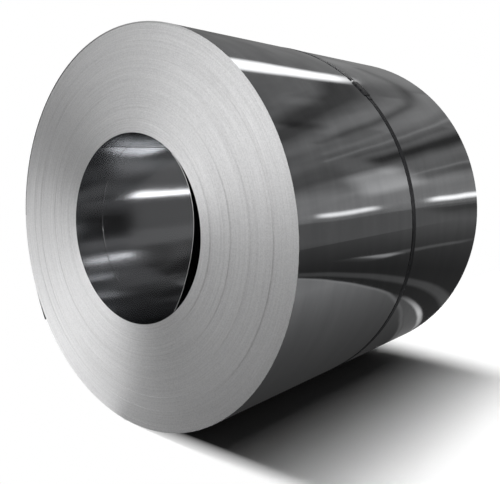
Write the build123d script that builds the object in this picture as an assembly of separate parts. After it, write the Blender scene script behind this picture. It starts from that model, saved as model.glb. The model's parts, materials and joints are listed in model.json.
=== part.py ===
from build123d import *
from math import cos, pi, radians, sin
import os

# Steel coil lying on its side, its eye along Y, on the floor plane Z = 0.
# All lengths are in millimetres and all angles in degrees. Angles round the coil are
# counted from +X towards +Z, as seen from the front end, which faces -Y.

# The wound strip
bore_diameter = 508.0
outside_diameter = 1068.0
strip_width = 1000.0
strip_thickness = 1.2

# The turns on the ends: bands of laps that lie flush or a little behind
lap_bands = 12
band_stagger = 0.4
band_stagger_step = 137.5
band_height_swing = 0.42

# The loose tail of the outermost lap, which lifts at both ends of the coil
tail_tip_angle = -143.0
tail_root_angle = -159.0
tail_lift = 9.0
tail_root_sink = 0.9
tail_free_length = 430.0
tail_points = 5

# The one strap round the body
strap_width = 19.0
strap_thickness = 0.9
strap_from_front = 516.0
strap_lean = 27.0
strap_lean_angle = 142.0
strap_joint_angle = 45.5
strap_overlap = 92.0

# The crimped seal that holds the two ends of the strap
seal_length = 60.0
seal_wall = 1.5
seal_side_gap = 1.0
seal_notch_radius = 3.2
seal_notch_pitch = 22.0

coil_radius = outside_diameter / 2
bore_radius = bore_diameter / 2
front_y = -strip_width / 2
back_y = strip_width / 2
strap_y = front_y + strap_from_front
strap_top = coil_radius + strap_thickness
overlap_top = strap_top + strap_thickness
axis_height = strap_top
strap_slope = strap_lean / coil_radius
strap_plane = Plane(origin=(0, strap_y, 0), z_dir=(
    strap_slope * cos(radians(strap_lean_angle)), 1, strap_slope * sin(radians(strap_lean_angle))))


def on_floor(shape):
    """Lifts what was drawn about the Y axis until the strap's lowest point is on the floor."""
    return Pos(0, 0, axis_height) * shape


def arc_angle(length, radius):
    """The angle that a length along a circle of that radius takes."""
    return length / radius * 180 / pi


def round_coil(radius, angle, y):
    """The point at that radius and angle round the coil's axis."""
    return Vector(radius * cos(radians(angle)), y, radius * sin(radians(angle)))


def turned_to(angle, shape):
    """Turns a shape drawn at +X to that angle round the coil's axis."""
    return Rot(0, -angle, 0) * shape


def band_edge(band):
    """The radius where a band of laps starts. The bands are not all of one height."""
    swing = band_height_swing * sin(radians(band * band_stagger_step))
    share = (band + swing) / lap_bands if 0 < band < lap_bands else band / lap_bands
    return bore_radius + share * (coil_radius - bore_radius)


def band_set_back(band):
    """How far a band lies in from the end of the coil: the first and last lie flush."""
    if band in (0, lap_bands - 1):
        return 0.0
    return band_stagger * (1 - cos(radians(band * band_stagger_step))) / 2


def wound_end(end_y, inward):
    """The end's outline from the bore to the outside: a flat for each band, and steps between."""
    outline = []
    for band in range(lap_bands):
        y = end_y + inward * band_set_back(band)
        outline += [(band_edge(band), y), (band_edge(band + 1), y)]
    return outline


def wound_body():
    """All the laps as one turned solid with its bore."""
    outline = wound_end(front_y, 1) + wound_end(back_y, -1)[::-1]
    return revolve(make_face(Polyline(*outline, close=True)), Axis.Y)


def tail_section(y, lift):
    """A cut across the tail's last stretch, square to the axis, with its tip lifted that far."""
    outer, inner = [], []
    for point in range(tail_points):
        share = point / (tail_points - 1)
        angle = tail_root_angle + share * (tail_tip_angle - tail_root_angle)
        rise = (lift + tail_root_sink) * share ** 1.5 - tail_root_sink
        outer.append(round_coil(coil_radius + rise, angle, y))
        inner.append(round_coil(coil_radius + rise - strip_thickness, angle, y))
    sides = [Line(outer[-1], inner[-1]), Line(inner[0], outer[0])]
    return make_face([Spline(*outer), Spline(*inner)] + sides)


def tail_corner(end_y, inward):
    """One lifted corner of the tail: full lift at the coil's end, none before the strap."""
    held_y = end_y + inward * tail_free_length
    return loft([tail_section(end_y, tail_lift), tail_section(held_y, 0)])


def coil():
    return wound_body() + tail_corner(front_y, 1) + tail_corner(back_y, -1)


def strap_line(angle):
    """How far along the axis the strap's middle lies at that angle: it leans to the front."""
    return strap_y - strap_lean * cos(radians(angle - strap_lean_angle))


def hoop(inner_radius, outer_radius, width, middle_angle=0.0, angle=360.0):
    """A band round the coil between the strap's leaning edges, or an arc of one."""
    middle = (inner_radius + outer_radius) / 2
    section = Pos(middle, strap_y) * Rectangle(outer_radius - inner_radius, 2 * (width + strap_lean))
    ring = turned_to(middle_angle + angle / 2, revolve(section, Axis.Y, angle))
    return ring & strap_plane * Box(2 * outside_diameter, 2 * outside_diameter, width)


def strap():
    """The strap as a ring, with its upper end lying on its lower end at the joint."""
    overlap_angle = arc_angle(strap_overlap, coil_radius)
    upper_end = hoop(strap_top, overlap_top, strap_width, strap_joint_angle, overlap_angle)
    return hoop(coil_radius, strap_top, strap_width) + upper_end


def strap_seal():
    """The seal: a channel over both layers of the strap, crimped in along both sides."""
    slot_width = strap_width + 2 * seal_side_gap
    seal_width = slot_width + 2 * seal_wall
    seal_top = overlap_top + seal_wall
    seal_angle = arc_angle(seal_length, coil_radius)
    seal = hoop(coil_radius, seal_top, seal_width, strap_joint_angle, seal_angle)
    seal -= hoop(coil_radius, overlap_top, slot_width, strap_joint_angle, 2 * seal_angle)
    notch = Rot(0, 90, 0) * Cylinder(seal_notch_radius, 4 * (seal_top - coil_radius))
    for side in (-1, 1):
        from_middle = side * (slot_width / 2 + seal_notch_radius + seal_wall / 3)
        for place in (-1, 1):
            angle = strap_joint_angle + arc_angle(place * seal_notch_pitch / 2, coil_radius)
            seal -= turned_to(angle, Pos(coil_radius, strap_line(angle) + from_middle, 0) * notch)
    return seal


os.makedirs("parts", exist_ok=True)
export_step(on_floor(coil()), "parts/coil.step")
export_step(on_floor(strap()), "parts/strap.step")
export_step(on_floor(strap_seal()), "parts/strap_seal.step")
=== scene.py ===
import bpy
import bmesh
import json
import math
from mathutils import Matrix, Vector


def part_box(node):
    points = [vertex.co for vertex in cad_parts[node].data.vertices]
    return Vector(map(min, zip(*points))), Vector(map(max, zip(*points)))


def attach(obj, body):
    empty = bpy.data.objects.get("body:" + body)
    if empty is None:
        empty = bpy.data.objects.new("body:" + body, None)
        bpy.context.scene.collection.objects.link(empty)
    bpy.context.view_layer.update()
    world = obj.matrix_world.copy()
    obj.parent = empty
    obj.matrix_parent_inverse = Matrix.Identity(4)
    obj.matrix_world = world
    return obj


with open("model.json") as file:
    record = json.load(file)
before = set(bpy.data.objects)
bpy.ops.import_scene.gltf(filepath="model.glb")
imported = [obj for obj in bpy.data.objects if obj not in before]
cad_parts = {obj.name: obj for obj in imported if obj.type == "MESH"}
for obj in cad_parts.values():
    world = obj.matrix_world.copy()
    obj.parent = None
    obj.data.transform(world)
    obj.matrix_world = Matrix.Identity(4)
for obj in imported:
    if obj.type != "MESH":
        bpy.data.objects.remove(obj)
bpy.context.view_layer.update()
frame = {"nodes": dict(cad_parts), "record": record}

eye = next(m for m in frame["record"]["mounts"] if m["name"] == "eye")
axisHeight = eye["pos_m"][2]                     # the coil's axis runs along Y at this height
boreRadius = eye["dims"]["r_mm"] / 1000
halfWidth = eye["dims"]["length_mm"] / 2000      # the coil reaches this far to each side of the origin
coilLow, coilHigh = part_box("coil")
coilRadius = (coilHigh.x - coilLow.x) / 2
white = (1.0, 1.0, 1.0, 1.0)
print("frame: radius", round(coilRadius, 4), "bore", boreRadius, "half width", halfWidth)


class Wire:
    # a shader socket that takes part in sums: each operation adds its Math node
    def __init__(self, board, socket):
        self.board = board
        self.socket = socket

    def math(self, operation, *values, clamp=False):
        settings = {"operation": operation, "use_clamp": clamp}
        return self.board.add("ShaderNodeMath", settings, *values)

    def __add__(self, other):
        return self.math("ADD", self, other)

    def __radd__(self, other):
        return self.math("ADD", other, self)

    def __sub__(self, other):
        return self.math("SUBTRACT", self, other)

    def __rsub__(self, other):
        return self.math("SUBTRACT", other, self)

    def __mul__(self, other):
        return self.math("MULTIPLY", self, other)

    def __rmul__(self, other):
        return self.math("MULTIPLY", other, self)

    def __truediv__(self, other):
        return self.math("DIVIDE", self, other)

    def __pow__(self, other):
        return self.math("POWER", self, other)

    def __abs__(self):
        return self.math("ABSOLUTE", self)

    def rootOf(self):
        return self.math("SQRT", self)

    def most(self, other):
        return self.math("MAXIMUM", self, other)

    def least(self, other):
        return self.math("MINIMUM", self, other)

    def clamped(self):
        return self.math("ADD", self, 0.0, clamp=True)

    def above(self, edge, soft):
        # 0 below the edge and 1 above it, with a soft step as wide as given
        return ((self - (edge - soft / 2)) / soft).clamped()

    def below(self, edge, soft):
        # 1 below the edge and 0 above it
        return (edge - self).above(0.0, soft)

    def near(self, middle, half, soft):
        # 1 within half of the middle and 0 outside, with a soft step on both sides
        return (half - abs(self - middle)).above(0.0, soft)

    def swing(self, share):
        # how far a noise pattern is from its middle, times a share
        return (self - 0.5) * share


class Board:
    # the node tree of one material or of the world
    def __init__(self, tree):
        self.tree = tree
        self.tree.nodes.clear()

    def put(self, socket, value):
        if isinstance(value, Wire):
            self.tree.links.new(value.socket, socket)
        else:
            socket.default_value = value

    def add(self, kind, settings=None, *values, out=0, **named):
        # settings first, then the sockets in their order, then sockets by name
        node = self.tree.nodes.new(kind)
        for name, value in (settings or {}).items():
            setattr(node, name, value)
        for socket, value in zip(node.inputs, values):
            self.put(socket, value)
        for name, value in named.items():
            self.put(node.inputs[name.replace("_", " ")], value)
        return Wire(self, node.outputs[out]) if node.outputs else node

    def mixColour(self, factor, first, second):
        # the Mix node's sockets share their names, so the two colours and the result go by number
        node = self.tree.nodes.new("ShaderNodeMix")
        node.data_type = "RGBA"
        self.put(node.inputs["Factor"], factor)
        self.put(node.inputs[6], first)
        self.put(node.inputs[7], second)
        return Wire(self, node.outputs[2])

    def vector(self, x, y, z):
        return self.add("ShaderNodeCombineXYZ", None, x, y, z)

    def noise(self, parts, scales, detail, rough):
        # a pattern over three parts, each stretched by its own scale
        place = self.vector(*[part * scale for part, scale in zip(parts, scales)])
        return self.add("ShaderNodeTexNoise", {"noise_dimensions": "3D"}, Vector=place, Scale=1.0,
                        Detail=detail, Roughness=rough)

    def parts(self, output="Object"):
        # the three parts of a texture coordinate: the place on the object, or its own normal
        split = self.tree.nodes.new("ShaderNodeSeparateXYZ")
        self.put(split.inputs[0], self.add("ShaderNodeTexCoord", None, out=output))
        return [Wire(self, part) for part in split.outputs]

    def fromAxis(self):
        # the place on the object, with its height counted from the coil's axis
        x, y, z = self.parts()
        return x, y, z - axisHeight

    def leaned(self, normal, away, slope):
        # a normal, leaned along a direction by a slope
        push = self.add("ShaderNodeVectorMath", {"operation": "SCALE"}, away, Scale=slope)
        both = self.add("ShaderNodeVectorMath", {"operation": "ADD"}, normal, push)
        return self.add("ShaderNodeVectorMath", {"operation": "NORMALIZE"}, both)

    def output(self, shader):
        self.add("ShaderNodeOutputMaterial", None, shader)


def blend(first, second, share):
    return first + (second - first) * share


def lengthOf(first, second):
    return (first * first + second * second).rootOf()


def degreesOf(rise, run):
    # the angle whose tangent is the rise over the run
    return rise.math("ARCTAN2", rise, run) * (180 / math.pi)


def newMaterial(name):
    material = bpy.data.materials.new(name)
    material.use_nodes = True
    return material, Board(material.node_tree)


def dress(piece, material):
    piece.data.materials.clear()
    piece.data.materials.append(material)


def addPiece(name, mesh, material):
    data = bpy.data.meshes.new(name)
    mesh.to_mesh(data)
    mesh.free()
    piece = bpy.data.objects.new(name, data)
    bpy.context.scene.collection.objects.link(piece)
    dress(piece, material)
    return piece


# In what follows a mask's two numbers are an edge and its softness, and its three are a middle, half a
# width and a softness. A pattern is its changes for each metre in three directions, its detail and its
# roughness. Angles round the coil are in degrees from +X towards +Z.

# the wound strip: its bright rolled faces, and the cut edges of its laps on both ends
steelLook = {
    "crisp": 0.0002,                             # the softness of a mask's sharp edge
    "skin": 0.0008,                              # what is this close to a face of the coil belongs to it
    "stripDark": (0.355, 0.36, 0.37, 1.0), "stripPale": (0.445, 0.45, 0.46, 1.0),
    "mottle": ((3.0, 14.0, 3.0), 4.0, 0.6), "mottleFrom": (0.5, 0.5),
    "stripRoughness": 0.055, "roughSwing": 0.03,
    "eyeColour": (0.605, 0.61, 0.62, 1.0), "eyeRoughness": 0.115,
    "wave": ((5.0, 1.6, 5.0), 2.0, 0.5), "waveHeight": 0.0016,       # the strip's long shallow waves
    # the strip's inner end shows as a line along the eye that fades out with the depth, and a crease
    # runs round the eye
    "seamAngle": 121.0, "seamWidth": 0.004, "seamSoft": 0.02, "seamHeight": 0.0012, "seamEnd": (0.0, 0.3),
    "creaseDepth": 0.095, "creaseWidth": 0.0015, "creaseHeight": 0.0004,
    "flatFrom": (0.6, 0.2),                      # a normal that points this far along the axis is an end's
    "lapDark": (0.52, 0.52, 0.525, 1.0), "lapPale": (0.80, 0.80, 0.805, 1.0), "lapRoughness": 0.36,
    "fineRings": ((1 / 0.0033, 4.0, 4.0), 2.0, 0.6), "fineShare": 0.9,
    "broadRings": ((60.0, 2.0, 2.0), 3.0, 0.55), "broadShare": 0.2,
    "grain": ((1 / 0.003, 1 / 0.003, 1 / 0.003), 2.0, 0.6), "grainShare": 1.1,
    # how steeply the cut edges round off to either side, how the fine rings differ in that, and the share
    # of an end that stays level
    "lapLean": 0.36, "lapJitter": 0.22, "levelShare": 0.34,
    "stepColour": (0.92, 0.92, 0.92, 1.0), "stepRoughness": 0.7,     # the small steps between bands of laps
    # painted shade: the outermost lap's edge is painted dark over the upper left, for the shade in the gap
    # where that lap stands off
    "rimColour": (0.03, 0.03, 0.032, 1.0), "rimWidth": 0.0040, "rimReach": (144.0, 50.4, 72.0),
}


def lapColour(board, place, radius, fineRings, step):
    # the ends: fine rings, broken up round the coil, some broader bands, and speckle
    look = steelLook
    x, y, z = place
    broadRings = board.noise((radius, x, z), *look["broadRings"])
    grain = board.noise(place, *look["grain"])
    tone = 0.5 + fineRings.swing(look["fineShare"]) + broadRings.swing(look["broadShare"])
    tone = (tone + grain.swing(look["grainShare"])).clamped()
    colour = board.mixColour(tone, look["lapDark"], look["lapPale"])
    colour = board.mixColour(step, colour, look["stepColour"])
    # painted shade along the outermost lap's edge over the upper left
    rim = radius.above(coilRadius - look["rimWidth"], look["crisp"]) * degreesOf(z, x).near(*look["rimReach"])
    return board.mixColour(rim, colour, look["rimColour"])


def stripColour(board, mottle, inEye):
    look = steelLook
    colour = board.mixColour(mottle.above(*look["mottleFrom"]), look["stripDark"], look["stripPale"])
    return board.mixColour(inEye, colour, look["eyeColour"])


def steelHeight(board, place, inEye):
    # the strip's waves and, inside the eye, its inner end as a line along it and a crease round it
    look = steelLook
    x, y, z = place
    wave = board.noise(place, *look["wave"])
    seamAngle = math.radians(look["seamAngle"])
    seam = (x * math.sin(seamAngle) - z * math.cos(seamAngle)).above(0.0, look["seamWidth"])
    seam = seam * (x * math.cos(seamAngle) + z * math.sin(seamAngle)).above(0.0, look["seamSoft"])
    seam = seam * y.below(*look["seamEnd"])
    crease = y.near(look["creaseDepth"] - halfWidth, look["creaseWidth"], look["creaseWidth"])
    inside = (seam * look["seamHeight"] + crease * look["creaseHeight"]) * inEye
    return wave * look["waveHeight"] + inside


def steelMaterial():
    look = steelLook
    material, board = newMaterial("rolledSteel")
    place = board.fromAxis()
    x, y, z = place
    radius = lengthOf(x, z)
    flat = abs(board.parts("Normal")[1]).above(*look["flatFrom"])
    inEye = radius.below(boreRadius + look["skin"], look["crisp"])
    inLaps = (1 - inEye) * radius.below(coilRadius - look["skin"], look["crisp"])
    step = abs(y).above(halfWidth - look["skin"], look["crisp"]) * inLaps * (1 - flat)
    onEnd = flat.most(step)
    fineRings = board.noise((radius, x, z), *look["fineRings"])
    mottle = board.noise(place, *look["mottle"])
    lap = lapColour(board, place, radius, fineRings, step)
    colour = board.mixColour(onEnd, stripColour(board, mottle, inEye), lap)
    rough = blend(look["stripRoughness"], look["eyeRoughness"], inEye) + mottle.swing(look["roughSwing"])
    rough = blend(rough, look["lapRoughness"], onEnd)
    rough = rough + step * (look["stepRoughness"] - look["lapRoughness"])
    height = steelHeight(board, place, inEye) * (1 - onEnd)
    # a cut edge is rounded to both sides, so an end mirrors in fans like a brushed disc
    away = board.vector(x / radius, 0.0, z / radius)
    own = board.add("ShaderNodeTexCoord", None, out="Normal")
    sides = []
    for lean in (-look["lapLean"], 0.0, look["lapLean"]):
        slope = (lean + fineRings.swing(look["lapJitter"])) * onEnd
        normal = board.add("ShaderNodeBump", None, Strength=1.0, Distance=1.0, Height=height,
                           Normal=board.leaned(own, away, slope))
        sides.append(board.add("ShaderNodeBsdfPrincipled", None, Base_Color=colour, Metallic=1.0,
                               Roughness=rough, Normal=normal))
    leaning = board.add("ShaderNodeMixShader", None, 0.5, sides[0], sides[2])
    board.output(board.add("ShaderNodeMixShader", None, look["levelShare"], leaning, sides[1]))
    return material


rolledSteel = steelMaterial()
dress(frame["nodes"]["coil"], rolledSteel)
print("coil: material done")


# the strap, dark with its scuffs running along it
strapLook = {
    "colour": (0.035, 0.036, 0.04, 1.0), "scuffed": (0.16, 0.16, 0.165, 1.0),
    "scuffs": ((8.0, 400.0, 8.0), 4.0, 0.6), "scuffFrom": (0.62, 0.15),
    "metallic": 0.9, "roughness": 0.38, "roughSwing": 0.3,
}


def strapMaterial():
    look = strapLook
    material, board = newMaterial("oxideStrap")
    scuffs = board.noise(board.fromAxis(), *look["scuffs"])
    colour = board.mixColour(scuffs.above(*look["scuffFrom"]), look["colour"], look["scuffed"])
    rough = look["roughness"] + scuffs.swing(look["roughSwing"])
    board.output(board.add("ShaderNodeBsdfPrincipled", None, Base_Color=colour, Metallic=look["metallic"],
                           Roughness=rough))
    return material


# the seal, with a painted highlight at its upper end; the highlight's colour and the angle it starts at come
# last
sealLook = {
    "dark": (0.03, 0.03, 0.033, 1.0), "pale": (0.09, 0.09, 0.095, 1.0),
    "grain": ((60.0, 60.0, 60.0), 3.0, 0.6), "roughness": 0.35,
    "worn": (0.8, 0.8, 0.8, 1.0), "wornFrom": (48.2, 0.36),
}


def sealMaterial():
    look = sealLook
    material, board = newMaterial("sealSteel")
    x, y, z = board.fromAxis()
    grain = board.noise((x, y, z), *look["grain"])
    # a painted highlight on the seal's upper end
    worn = degreesOf(z, x).above(*look["wornFrom"])
    colour = board.mixColour(worn, board.mixColour(grain, look["dark"], look["pale"]), look["worn"])
    board.output(board.add("ShaderNodeBsdfPrincipled", None, Base_Color=colour, Metallic=1.0,
                           Roughness=look["roughness"]))
    return material


dress(frame["nodes"]["strap"], strapMaterial())
dress(frame["nodes"]["strap_seal"], sealMaterial())
print("strap and seal: materials done")


# the innermost lap, sprung off the bore's wall
innerLap = {
    "fromAngle": 52.0, "toAngle": -50.0,
    "rise": 0.026,                               # the most it stands off
    "lean": 1.6,                                 # above 1, it does so nearer its lower end
    "thickness": 0.0012, "gap": 0.0006,          # the gap keeps its ends clear of the wall
    "steps": 96, "sharpFrom": 40.0,
}


def lapEdge(mesh, angle):
    # a line along the bore's wall at that angle
    x, z = math.cos(angle) * boreRadius, math.sin(angle) * boreRadius + axisHeight
    ends = [mesh.verts.new((x, y, z)) for y in (-halfWidth, halfWidth)]
    return ends + [mesh.edges.new(ends)]


def springOff(vert, start, sweep):
    # moves a point of the wall in to where the sprung lap runs
    size = innerLap
    flat = Vector((vert.co.x, 0, vert.co.z - axisHeight))
    share = min(max((math.atan2(flat.z, flat.x) - start) / sweep, 0.0), 1.0)
    off = size["rise"] * math.sin(math.pi * share ** size["lean"])
    flat.length = boreRadius - size["thickness"] / 2 - size["gap"] - off
    vert.co.x = flat.x
    vert.co.z = flat.z + axisHeight


def buildInnerLap():
    size = innerLap
    start = math.radians(size["fromAngle"])
    sweep = math.radians(size["toAngle"] - size["fromAngle"])
    mesh = bmesh.new()
    bmesh.ops.spin(mesh, geom=lapEdge(mesh, start), cent=(0, 0, axisHeight), axis=(0, -1, 0), angle=sweep,
                   steps=size["steps"])
    for vert in mesh.verts:
        springOff(vert, start, sweep)
    bmesh.ops.recalc_face_normals(mesh, faces=mesh.faces)
    bmesh.ops.solidify(mesh, geom=mesh.faces[:], thickness=size["thickness"])
    bmesh.ops.recalc_face_normals(mesh, faces=mesh.faces)
    piece = addPiece("innerLap", mesh, rolledSteel)
    piece.data.shade_smooth()
    piece.data.set_sharp_from_angle(angle=math.radians(size["sharpFrom"]))
    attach(piece, "root")


buildInnerLap()
print("inner lap: done")


# the camera, at the photo's view
cameraView = {
    "place": (1.2498, -1.53539, 0.73233),
    "towards": (-0.68361, 0.72514, -0.08282),
    "lens": 44.06, "sensor": 36.0,
    "shift": (0.0864, -0.0742),
}


def setCamera():
    data = bpy.data.cameras.new("camera")
    data.sensor_width = cameraView["sensor"]
    data.lens = cameraView["lens"]
    data.shift_x, data.shift_y = cameraView["shift"]
    camera = bpy.data.objects.new("camera", data)
    bpy.context.scene.collection.objects.link(camera)
    turn = Vector(cameraView["towards"]).to_track_quat("-Z", "Y").to_matrix().to_4x4()
    camera.matrix_world = Matrix.Translation(cameraView["place"]) @ turn
    bpy.context.scene.camera = camera


setCamera()
print("camera: set")


# the floor, the lamps and the world
studio = {
    "floorSize": 60.0, "floorColour": (0.92, 0.92, 0.92, 1.0),
    # angle up from +X: energy. The lamps stand in one row across the coil, and most of their light
    # comes from the left of overhead. The row leans a little to the front.
    "lamps": {58: 0.10, 66: 0.15, 74: 0.26, 82: 0.44, 90: 0.54, 95: 0.55, 100: 0.80, 105: 0.95},
    "lampSoftness": 12.0, "lampLean": 0.115,
    "ambient": 0.04,
    # the camera sees no shadow to the left of the coil's foot, and sees it fade out in front of the coil,
    # along a line that turns a little about frontCorner
    "whiteSide": (-0.03, 0.06), "whiteFront": (-0.470, 0.07), "frontCorner": 0.25, "frontTurn": 0.08,
}


def addStage(name, mesh, material):
    piece = addPiece(name, mesh, material)
    return piece


def floorMaterial():
    material, board = newMaterial("floorPaint")
    x, y = board.parts()[:2]
    beside = x.below(*studio["whiteSide"])
    before = (y + (studio["frontCorner"] - x) * studio["frontTurn"]).below(*studio["whiteFront"])
    share = board.add("ShaderNodeLightPath", None, out="Is Camera Ray") * beside.most(before)
    paint = board.add("ShaderNodeBsdfDiffuse", None, studio["floorColour"])
    plain = board.add("ShaderNodeEmission", None, white, 1.0)
    board.output(board.add("ShaderNodeMixShader", None, share, paint, plain))
    return material


def buildFloor():
    mesh = bmesh.new()
    bmesh.ops.create_grid(mesh, x_segments=1, y_segments=1, size=studio["floorSize"] / 2)
    addStage("floor", mesh, floorMaterial())


def addLamp(angle, energy):
    data = bpy.data.lights.new("lamp", "SUN")
    data.energy = energy
    data.angle = math.radians(studio["lampSoftness"])
    lamp = bpy.data.objects.new("lamp", data)
    lamp.visible_glossy = False
    bpy.context.scene.collection.objects.link(lamp)
    way = Vector((-math.cos(math.radians(angle)), studio["lampLean"], -math.sin(math.radians(angle))))
    lamp.matrix_world = way.to_track_quat("-Z", "Y").to_matrix().to_4x4()


def buildWorld():
    world = bpy.data.worlds.new("studio")
    bpy.context.scene.world = world
    world.use_nodes = True
    # not sampled as a lamp, which would shine on the steel through the mirrored room
    world.cycles.sampling_method = "NONE"
    board = Board(world.node_tree)
    seen = board.add("ShaderNodeLightPath", None, out="Is Camera Ray")
    for kind in ("Is Glossy Ray", "Is Transmission Ray"):
        seen = seen.most(board.add("ShaderNodeLightPath", None, out=kind))
    background = board.add("ShaderNodeBackground", None, white, blend(studio["ambient"], 1.0, seen))
    board.add("ShaderNodeOutputWorld", None, background)


buildFloor()
for angle, energy in studio["lamps"].items():
    addLamp(angle, energy)
buildWorld()
print("floor, lamps and world: done")


# the room that the bright steel mirrors: a dome and a floor cloth that only reflections see.
# Azimuths run from +Y towards +X and heights up from the coil's axis, both in degrees, and the streaks'
# changes are for each degree.
room = {
    "radius": 100.0, "subdivisions": 5,
    "tone": 0.22, "sideTone": 0.80, "sideFrom": (62.0, 14.0),    # the dim wall behind the coil, and the rest
    "streaks": ((0.055, 0.3, 0.0), 3.0, 0.55), "streakShare": 0.9,
    # the wall's lines sag to both sides by the first times the azimuth squared, and right of the middle
    # they rise by the second times the azimuth
    "sag": 0.009, "tilt": 0.18,
    # azimuth, half width, height, half height, softness, slant, taper, and the glow or, if it is below 0,
    # the share taken away. A band's height is counted along the sagging lines.
    "bands": {
        "highWindow": (-14.6, 4.2, 40.0, 9.7, 2.4, -0.28, 0.24, 2.0),
        "leftGlow": (-20.0, 9.0, 25.0, 5.0, 6.0, 0.0, 0.0, 0.08),
        "paleSpot": (6.5, 2.0, 34.0, 1.5, 2.0, 0.0, 0.0, 0.06),
        "lintel": (4.0, 15.0, 31.6, 1.8, 1.8, 0.0, 0.0, -0.62),
        "lintelEnd": (21.0, 5.0, 30.1, 1.8, 1.8, 0.0, 0.0, -0.55),
        "arch": (8.0, 11.0, 27.2, 1.0, 1.2, 0.0, 0.0, 0.08),
        "archEnd": (24.0, 5.0, 25.8, 0.9, 1.2, 0.0, 0.0, 0.06),
        "archLine": (0.0, 23.0, 25.7, 0.45, 0.8, 0.0, 0.0, -0.45),
        "rail": (3.0, 11.0, 23.6, 1.2, 1.2, 0.0, 0.0, 0.10),
        "farRail": (19.5, 6.0, 22.9, 0.4, 0.6, 0.0, 0.0, 0.07),
        "wire": (15.0, 12.0, 21.1, 0.2, 0.4, 0.0, 0.0, 0.16),
        "shelf": (16.0, 8.0, 19.9, 0.5, 0.8, 0.0, 0.0, -0.3),
        "blotch": (15.5, 8.0, 17.3, 1.2, 1.6, 0.0, 0.0, -0.8),
        "thinWire": (18.5, 4.5, 11.4, 0.2, 0.4, 0.0, 0.0, 0.12),
        "ledge": (19.0, 4.5, 10.1, 0.8, 1.0, 0.0, 0.0, -0.35),
        "palePatch": (25.6, 2.6, 11.8, 3.4, 1.8, 0.0, 0.0, 0.36),
        "patchTop": (23.6, 1.0, 14.3, 1.0, 1.0, 0.0, 0.0, 0.12),
        "farShade": (31.0, 4.0, 17.9, 2.0, 2.0, 0.0, 0.0, -0.35),
    },
    "windows": {
        "topBox": (-17.0, 12.0, 47.2, 4.8, 2.5, 0.0, 1.0, 3.3),
        "topCorner": (-32.5, 3.5, 40.2, 1.6, 1.2, 0.0, 0.0, 0.5),
        "lowNear": (21.4, 2.3, 1.6, 0.6, 0.8, 0.0, 0.0, 1.9),
        "lowFar": (30.9, 2.6, 1.8, 0.6, 0.8, 0.0, 0.0, 1.6),
        "horizonGlow": (28.0, 10.0, 5.0, 4.5, 3.0, 0.0, 0.0, 0.14),
        "cornerBox": (-46.0, 5.0, 33.0, 5.0, 3.0, 0.0, 0.0, 0.3),
        "sideLight": (88.0, 38.0, 25.0, 32.0, 14.0, 0.0, 0.0, 0.25),
        "frontShade": (-129.0, 8.0, 26.0, 10.0, 8.0, 0.0, 0.0, -0.6),
        "leftWall": (-47.0, 9.0, 10.0, 22.0, 4.0, 0.0, 0.0, -0.2),
        "leftScreen": (-107.0, 22.0, 2.0, 12.0, 10.0, 0.0, 0.0, -0.78),
    },
    "frontBox": (24.0, 17.0, 6.0, 15.0, 9.0, 0.0, 0.0, 1.75),    # its azimuth runs from the front towards -X
}


def seenByGlossOnly(piece):
    piece.visible_camera = False
    piece.visible_diffuse = False
    piece.visible_shadow = False
    piece.visible_transmission = False
    piece.visible_volume_scatter = False


def withWindow(tone, azimuth, height, size):
    # the tone with one window's glow added, or its share taken away
    across, halfAcross, up, halfUp, soft, slant, taper, glow = size
    rise = height - up
    inside = (halfAcross + rise * taper - abs(azimuth - across - rise * slant)).above(0.0, soft)
    inside = inside * height.near(up, halfUp, soft)
    return tone * (1 + inside * glow) if glow < 0 else tone + inside * glow


def roomMaterial():
    material, board = newMaterial("mirrorRoom")
    x, y, z = board.fromAxis()
    azimuth = degreesOf(x, y)
    height = degreesOf(z, lengthOf(x, y))
    sagged = height + azimuth * azimuth * room["sag"] - azimuth.most(0.0) * room["tilt"]
    tone = blend(room["tone"], room["sideTone"], abs(azimuth).above(*room["sideFrom"]))
    streaks = board.noise((azimuth, sagged, 0.0), *room["streaks"])
    tone = tone * (1 + streaks.swing(room["streakShare"]))
    places = [(sagged, size) for size in room["bands"].values()]
    places += [(height, size) for size in room["windows"].values()]
    # what takes a share away comes before what adds a glow
    for up, size in sorted(places, key=lambda place: place[1][-1]):
        tone = withWindow(tone, azimuth, up, size)
    tone = withWindow(tone, degreesOf(x * -1, y * -1), height, room["frontBox"])
    board.output(board.add("ShaderNodeEmission", None, white, tone))
    return material


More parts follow.
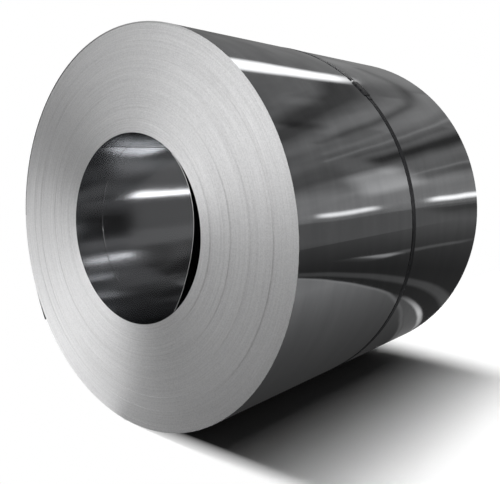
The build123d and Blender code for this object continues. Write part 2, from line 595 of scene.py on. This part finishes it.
# the floor as the steel mirrors it
cloth = {
    "height": 0.002, "edgeSoft": 0.02,
    # beside the coil: the coil's painted shadow on the floor, darkest at the coil's foot and paler outwards
    "nearDark": 0.02, "nearPale": 0.34, "nearRamp": (0.5, 1.0),
    # its far edge turns back to the right from edgeFrom, and a pale fold runs just before it
    "edge": 0.61, "edgeFrom": 0.42, "edgeTurn": 0.33, "edgeMost": 0.09,
    "fold": (-0.018, 0.016, 0.02), "foldGlow": 0.08,
    # behind it: dark near the coil and pale far off
    "backDark": 0.035, "backPale": 0.16, "backRamp": (3.3, 3.6),
    # a pale hem a little behind the edge, which turns to the front on the right, and the gap before it,
    # which glows faintly
    "hemTurn": 0.16, "hem": (0.815, 0.022, 0.02), "hemReach": (0.41, 0.11, 0.2), "hemGlow": 0.64,
    "gapEnd": (0.62, 0.1), "gapGlow": 0.10,
    # a faint stripe further back
    "stripeTurn": 0.23, "stripe": (1.1, 0.06, 0.05), "stripeGlow": 0.07,
    # a small bright place, with a fainter line on behind it, wider before glintWideTo
    "glintTurn": 0.2, "glintMiddle": 1.62, "glintHalf": 0.05, "glintSoft": 0.05,
    "glintWideTo": 1.7, "glintWiden": 0.15,
    "glint": (1.56, 0.10, 0.12), "glintGlow": 0.34, "glintLine": (1.9, 0.5, 0.3), "lineShare": 0.25,
    # the floor close behind the eye, a dark spot far off in one direction, and what lies to the left
    "backFoot": 0.10, "footSide": (0.22, 0.2), "footBack": (1.6, 0.6),
    "spotTurn": (0.405, 0.05, 0.04), "spotReach": (20.0, 10.0, 6.0), "spotShare": 0.45,
    "leftFrom": (-0.45, 0.2), "leftPale": 0.85, "backLeft": 0.24, "backLeftFrom": (0.5, 0.1),
    # in front: dark, and pale to the left, where the angle at the coil's foot is above leftAngle
    "frontFrom": (-0.05, 0.1), "frontDark": 0.05, "frontLeftPale": 1.5, "leftAngle": (59.5, 26.0),
    "footRound": 0.05, "footReach": (0.5, 0.5), "footGlow": 0.14, "footShade": 0.3,
}


def backTone(x, y):
    # the tone behind the sheet that lies beside the coil
    tone = blend(cloth["backDark"], cloth["backPale"], lengthOf(x, y).above(*cloth["backRamp"]))
    hemLine = y + x * cloth["hemTurn"]
    gap = x.below(*cloth["gapEnd"]) * hemLine.below(cloth["hem"][0], cloth["edgeSoft"])
    hem = hemLine.near(*cloth["hem"]) * x.near(*cloth["hemReach"])
    stripe = (y + x * cloth["stripeTurn"]).near(*cloth["stripe"])
    tone = tone + gap * cloth["gapGlow"] + hem * cloth["hemGlow"] + stripe * cloth["stripeGlow"]
    half = cloth["glintHalf"] + (cloth["glintWideTo"] - y).most(0.0) * cloth["glintWiden"]
    glint = (x + y * cloth["glintTurn"]).near(cloth["glintMiddle"], half, cloth["glintSoft"])
    glint = glint * (y.near(*cloth["glint"]) + y.near(*cloth["glintLine"]) * cloth["lineShare"])
    foot = x.below(*cloth["footSide"]) * y.below(*cloth["footBack"])
    tone = tone + glint * cloth["glintGlow"] + foot * (cloth["backFoot"] - cloth["backDark"])
    spot = (x / y).near(*cloth["spotTurn"]) * y.near(*cloth["spotReach"])
    return tone * (1 - spot * cloth["spotShare"])


def frontTone(x, ahead):
    # the tone that far ahead of the coil's front end
    turn = degreesOf(x * -1, ahead + cloth["footRound"])
    atFoot = lengthOf(x, ahead).below(*cloth["footReach"])
    dark = cloth["frontDark"] + atFoot * cloth["footGlow"]
    pale = cloth["frontLeftPale"] * (1 - atFoot * cloth["footShade"])
    return blend(dark, pale, turn.above(*cloth["leftAngle"]))


def clothMaterial():
    material, board = newMaterial("floorCloth")
    x, y = board.parts()[:2]
    edge = cloth["edge"] + ((x - cloth["edgeFrom"]).most(0.0) * cloth["edgeTurn"]).least(cloth["edgeMost"])
    # the coil's painted shadow beside its foot, paler outwards
    near = blend(cloth["nearDark"], cloth["nearPale"], x.above(*cloth["nearRamp"]) ** 2.0)
    near = near + (y - edge).near(*cloth["fold"]) * cloth["foldGlow"]
    tone = blend(near, backTone(x, y), (y - edge).above(0.0, cloth["edgeSoft"]))
    leftTone = blend(cloth["leftPale"], cloth["backLeft"], y.above(*cloth["backLeftFrom"]))
    tone = blend(tone, leftTone, x.below(*cloth["leftFrom"]))
    ahead = -halfWidth - y
    tone = blend(tone, frontTone(x, ahead), ahead.above(*cloth["frontFrom"]))
    board.output(board.add("ShaderNodeEmission", None, white, tone))
    return material


def buildRoom():
    mesh = bmesh.new()
    bmesh.ops.create_icosphere(mesh, subdivisions=room["subdivisions"], radius=room["radius"])
    bmesh.ops.translate(mesh, verts=mesh.verts, vec=(0, 0, axisHeight))
    seenByGlossOnly(addStage("mirrorRoom", mesh, roomMaterial()))
    mesh = bmesh.new()
    bmesh.ops.create_grid(mesh, x_segments=1, y_segments=1, size=room["radius"])
    bmesh.ops.translate(mesh, verts=mesh.verts, vec=(0, 0, cloth["height"]))
    seenByGlossOnly(addStage("floorCloth", mesh, clothMaterial()))


buildRoom()
print("mirrored room: done")

bpy.context.scene.view_settings.view_transform = "Standard"
bpy.context.scene.cycles.glossy_bounces = 8            # the eye mirrors itself many times over
bpy.context.scene.cycles.caustics_reflective = False   # the mirrored room throws no light on the floor
print("view transform: set")
